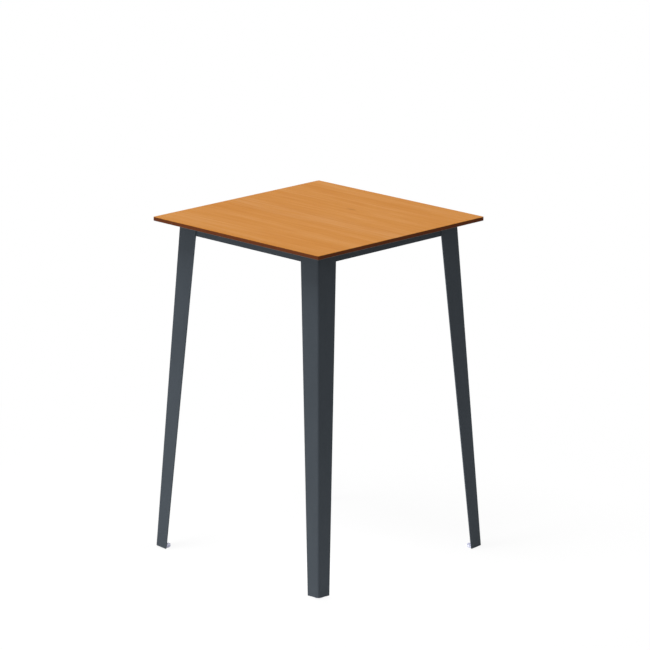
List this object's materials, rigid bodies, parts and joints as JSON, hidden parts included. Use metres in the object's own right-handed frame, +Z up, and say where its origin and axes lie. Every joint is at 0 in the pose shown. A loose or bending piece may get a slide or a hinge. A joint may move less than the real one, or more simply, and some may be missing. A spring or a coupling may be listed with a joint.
{
  "type": "high table",
  "caption": "Square high table: thin laminated top on tapered, splayed angle-section legs, tied by rails under the top and standing on levelling glides.",
  "frame": {"origin": "on the floor, under the middle of the board", "axes": "+Z up; X along the wood grain of the top; front is -Y, right is +X"},
  "size_m": [0.7064, 0.7064, 1.038],
  "materials": {
    "wood_decor": "satin laminate with a straight, even wood grain along X",
    "laminate_core": "sanded brown laminate core",
    "laminate_backing": "plain matt balancing sheet",
    "powder_coat": "fine anthracite powder coat, matt",
    "zinc": "bright zinc plate",
    "brass": "turned",
    "glide_plastic": "light grey moulded plastic"
  },
  "bodies": {
    "table_frame": {"tabletop_decor_sheet": "wood_decor", "tabletop_core": "laminate_core", "tabletop_backing_sheet": "laminate_backing", "board_inserts": "brass", "head_plate_screws": "zinc", "rail_screws": "zinc", "rail_weld_studs": "zinc", "rail_washers": "zinc", "rail_nuts": "zinc", "foot_weld_nuts": "zinc", "leg_front_right": "powder_coat", "head_plate_front_right": "powder_coat", "foot_plate_front_right": "powder_coat", "leg_back_right": "powder_coat", "head_plate_back_right": "powder_coat", "foot_plate_back_right": "powder_coat", "leg_back_left": "powder_coat", "head_plate_back_left": "powder_coat", "foot_plate_back_left": "powder_coat", "leg_front_left": "powder_coat", "head_plate_front_left": "powder_coat", "foot_plate_front_left": "powder_coat", "rail_front": "powder_coat", "rail_right": "powder_coat", "rail_back": "powder_coat", "rail_left": "powder_coat"},
    "glide_pad_front_right": {"glide_pad_front_right": "glide_plastic"},
    "glide_stud_front_right": {"glide_stud_front_right": "zinc"},
    "glide_pad_back_right": {"glide_pad_back_right": "glide_plastic"},
    "glide_stud_back_right": {"glide_stud_back_right": "zinc"},
    "glide_pad_back_left": {"glide_pad_back_left": "glide_plastic"},
    "glide_stud_back_left": {"glide_stud_back_left": "zinc"},
    "glide_pad_front_left": {"glide_pad_front_left": "glide_plastic"},
    "glide_stud_front_left": {"glide_stud_front_left": "zinc"}
  },
  "joints": [
    {"name": "glide_slide_front_right", "type": "slide", "parent": "table_frame", "child": "glide_pad_front_right", "axis": [0, 0, -1], "range_m": [0, 0.012]},
    {"name": "glide_turn_front_right", "type": "hinge", "parent": "glide_pad_front_right", "child": "glide_stud_front_right", "pos_m": [0.3322, -0.3322, 0.02], "axis": [0, 0, -1], "range_deg": [0, 3456]},
    {"name": "glide_slide_back_right", "type": "slide", "parent": "table_frame", "child": "glide_pad_back_right", "axis": [0, 0, -1], "range_m": [0, 0.012]},
    {"name": "glide_turn_back_right", "type": "hinge", "parent": "glide_pad_back_right", "child": "glide_stud_back_right", "pos_m": [0.3322, 0.3322, 0.02], "axis": [0, 0, -1], "range_deg": [0, 3456]},
    {"name": "glide_slide_back_left", "type": "slide", "parent": "table_frame", "child": "glide_pad_back_left", "axis": [0, 0, -1], "range_m": [0, 0.012]},
    {"name": "glide_turn_back_left", "type": "hinge", "parent": "glide_pad_back_left", "child": "glide_stud_back_left", "pos_m": [-0.3322, 0.3322, 0.02], "axis": [0, 0, -1], "range_deg": [0, 3456]},
    {"name": "glide_slide_front_left", "type": "slide", "parent": "table_frame", "child": "glide_pad_front_left", "axis": [0, 0, -1], "range_m": [0, 0.012]},
    {"name": "glide_turn_front_left", "type": "hinge", "parent": "glide_pad_front_left", "child": "glide_stud_front_left", "pos_m": [-0.3322, -0.3322, 0.02], "axis": [0, 0, -1], "range_deg": [0, 3456]}
  ],
  "couplings": [
    {"joint": "glide_slide_front_right", "follows": "glide_turn_front_right", "m_per_rad": 0.00019894},
    {"joint": "glide_slide_back_right", "follows": "glide_turn_back_right", "m_per_rad": 0.00019894},
    {"joint": "glide_slide_back_left", "follows": "glide_turn_back_left", "m_per_rad": 0.00019894},
    {"joint": "glide_slide_front_left", "follows": "glide_turn_front_left", "m_per_rad": 0.00019894}
  ]
}
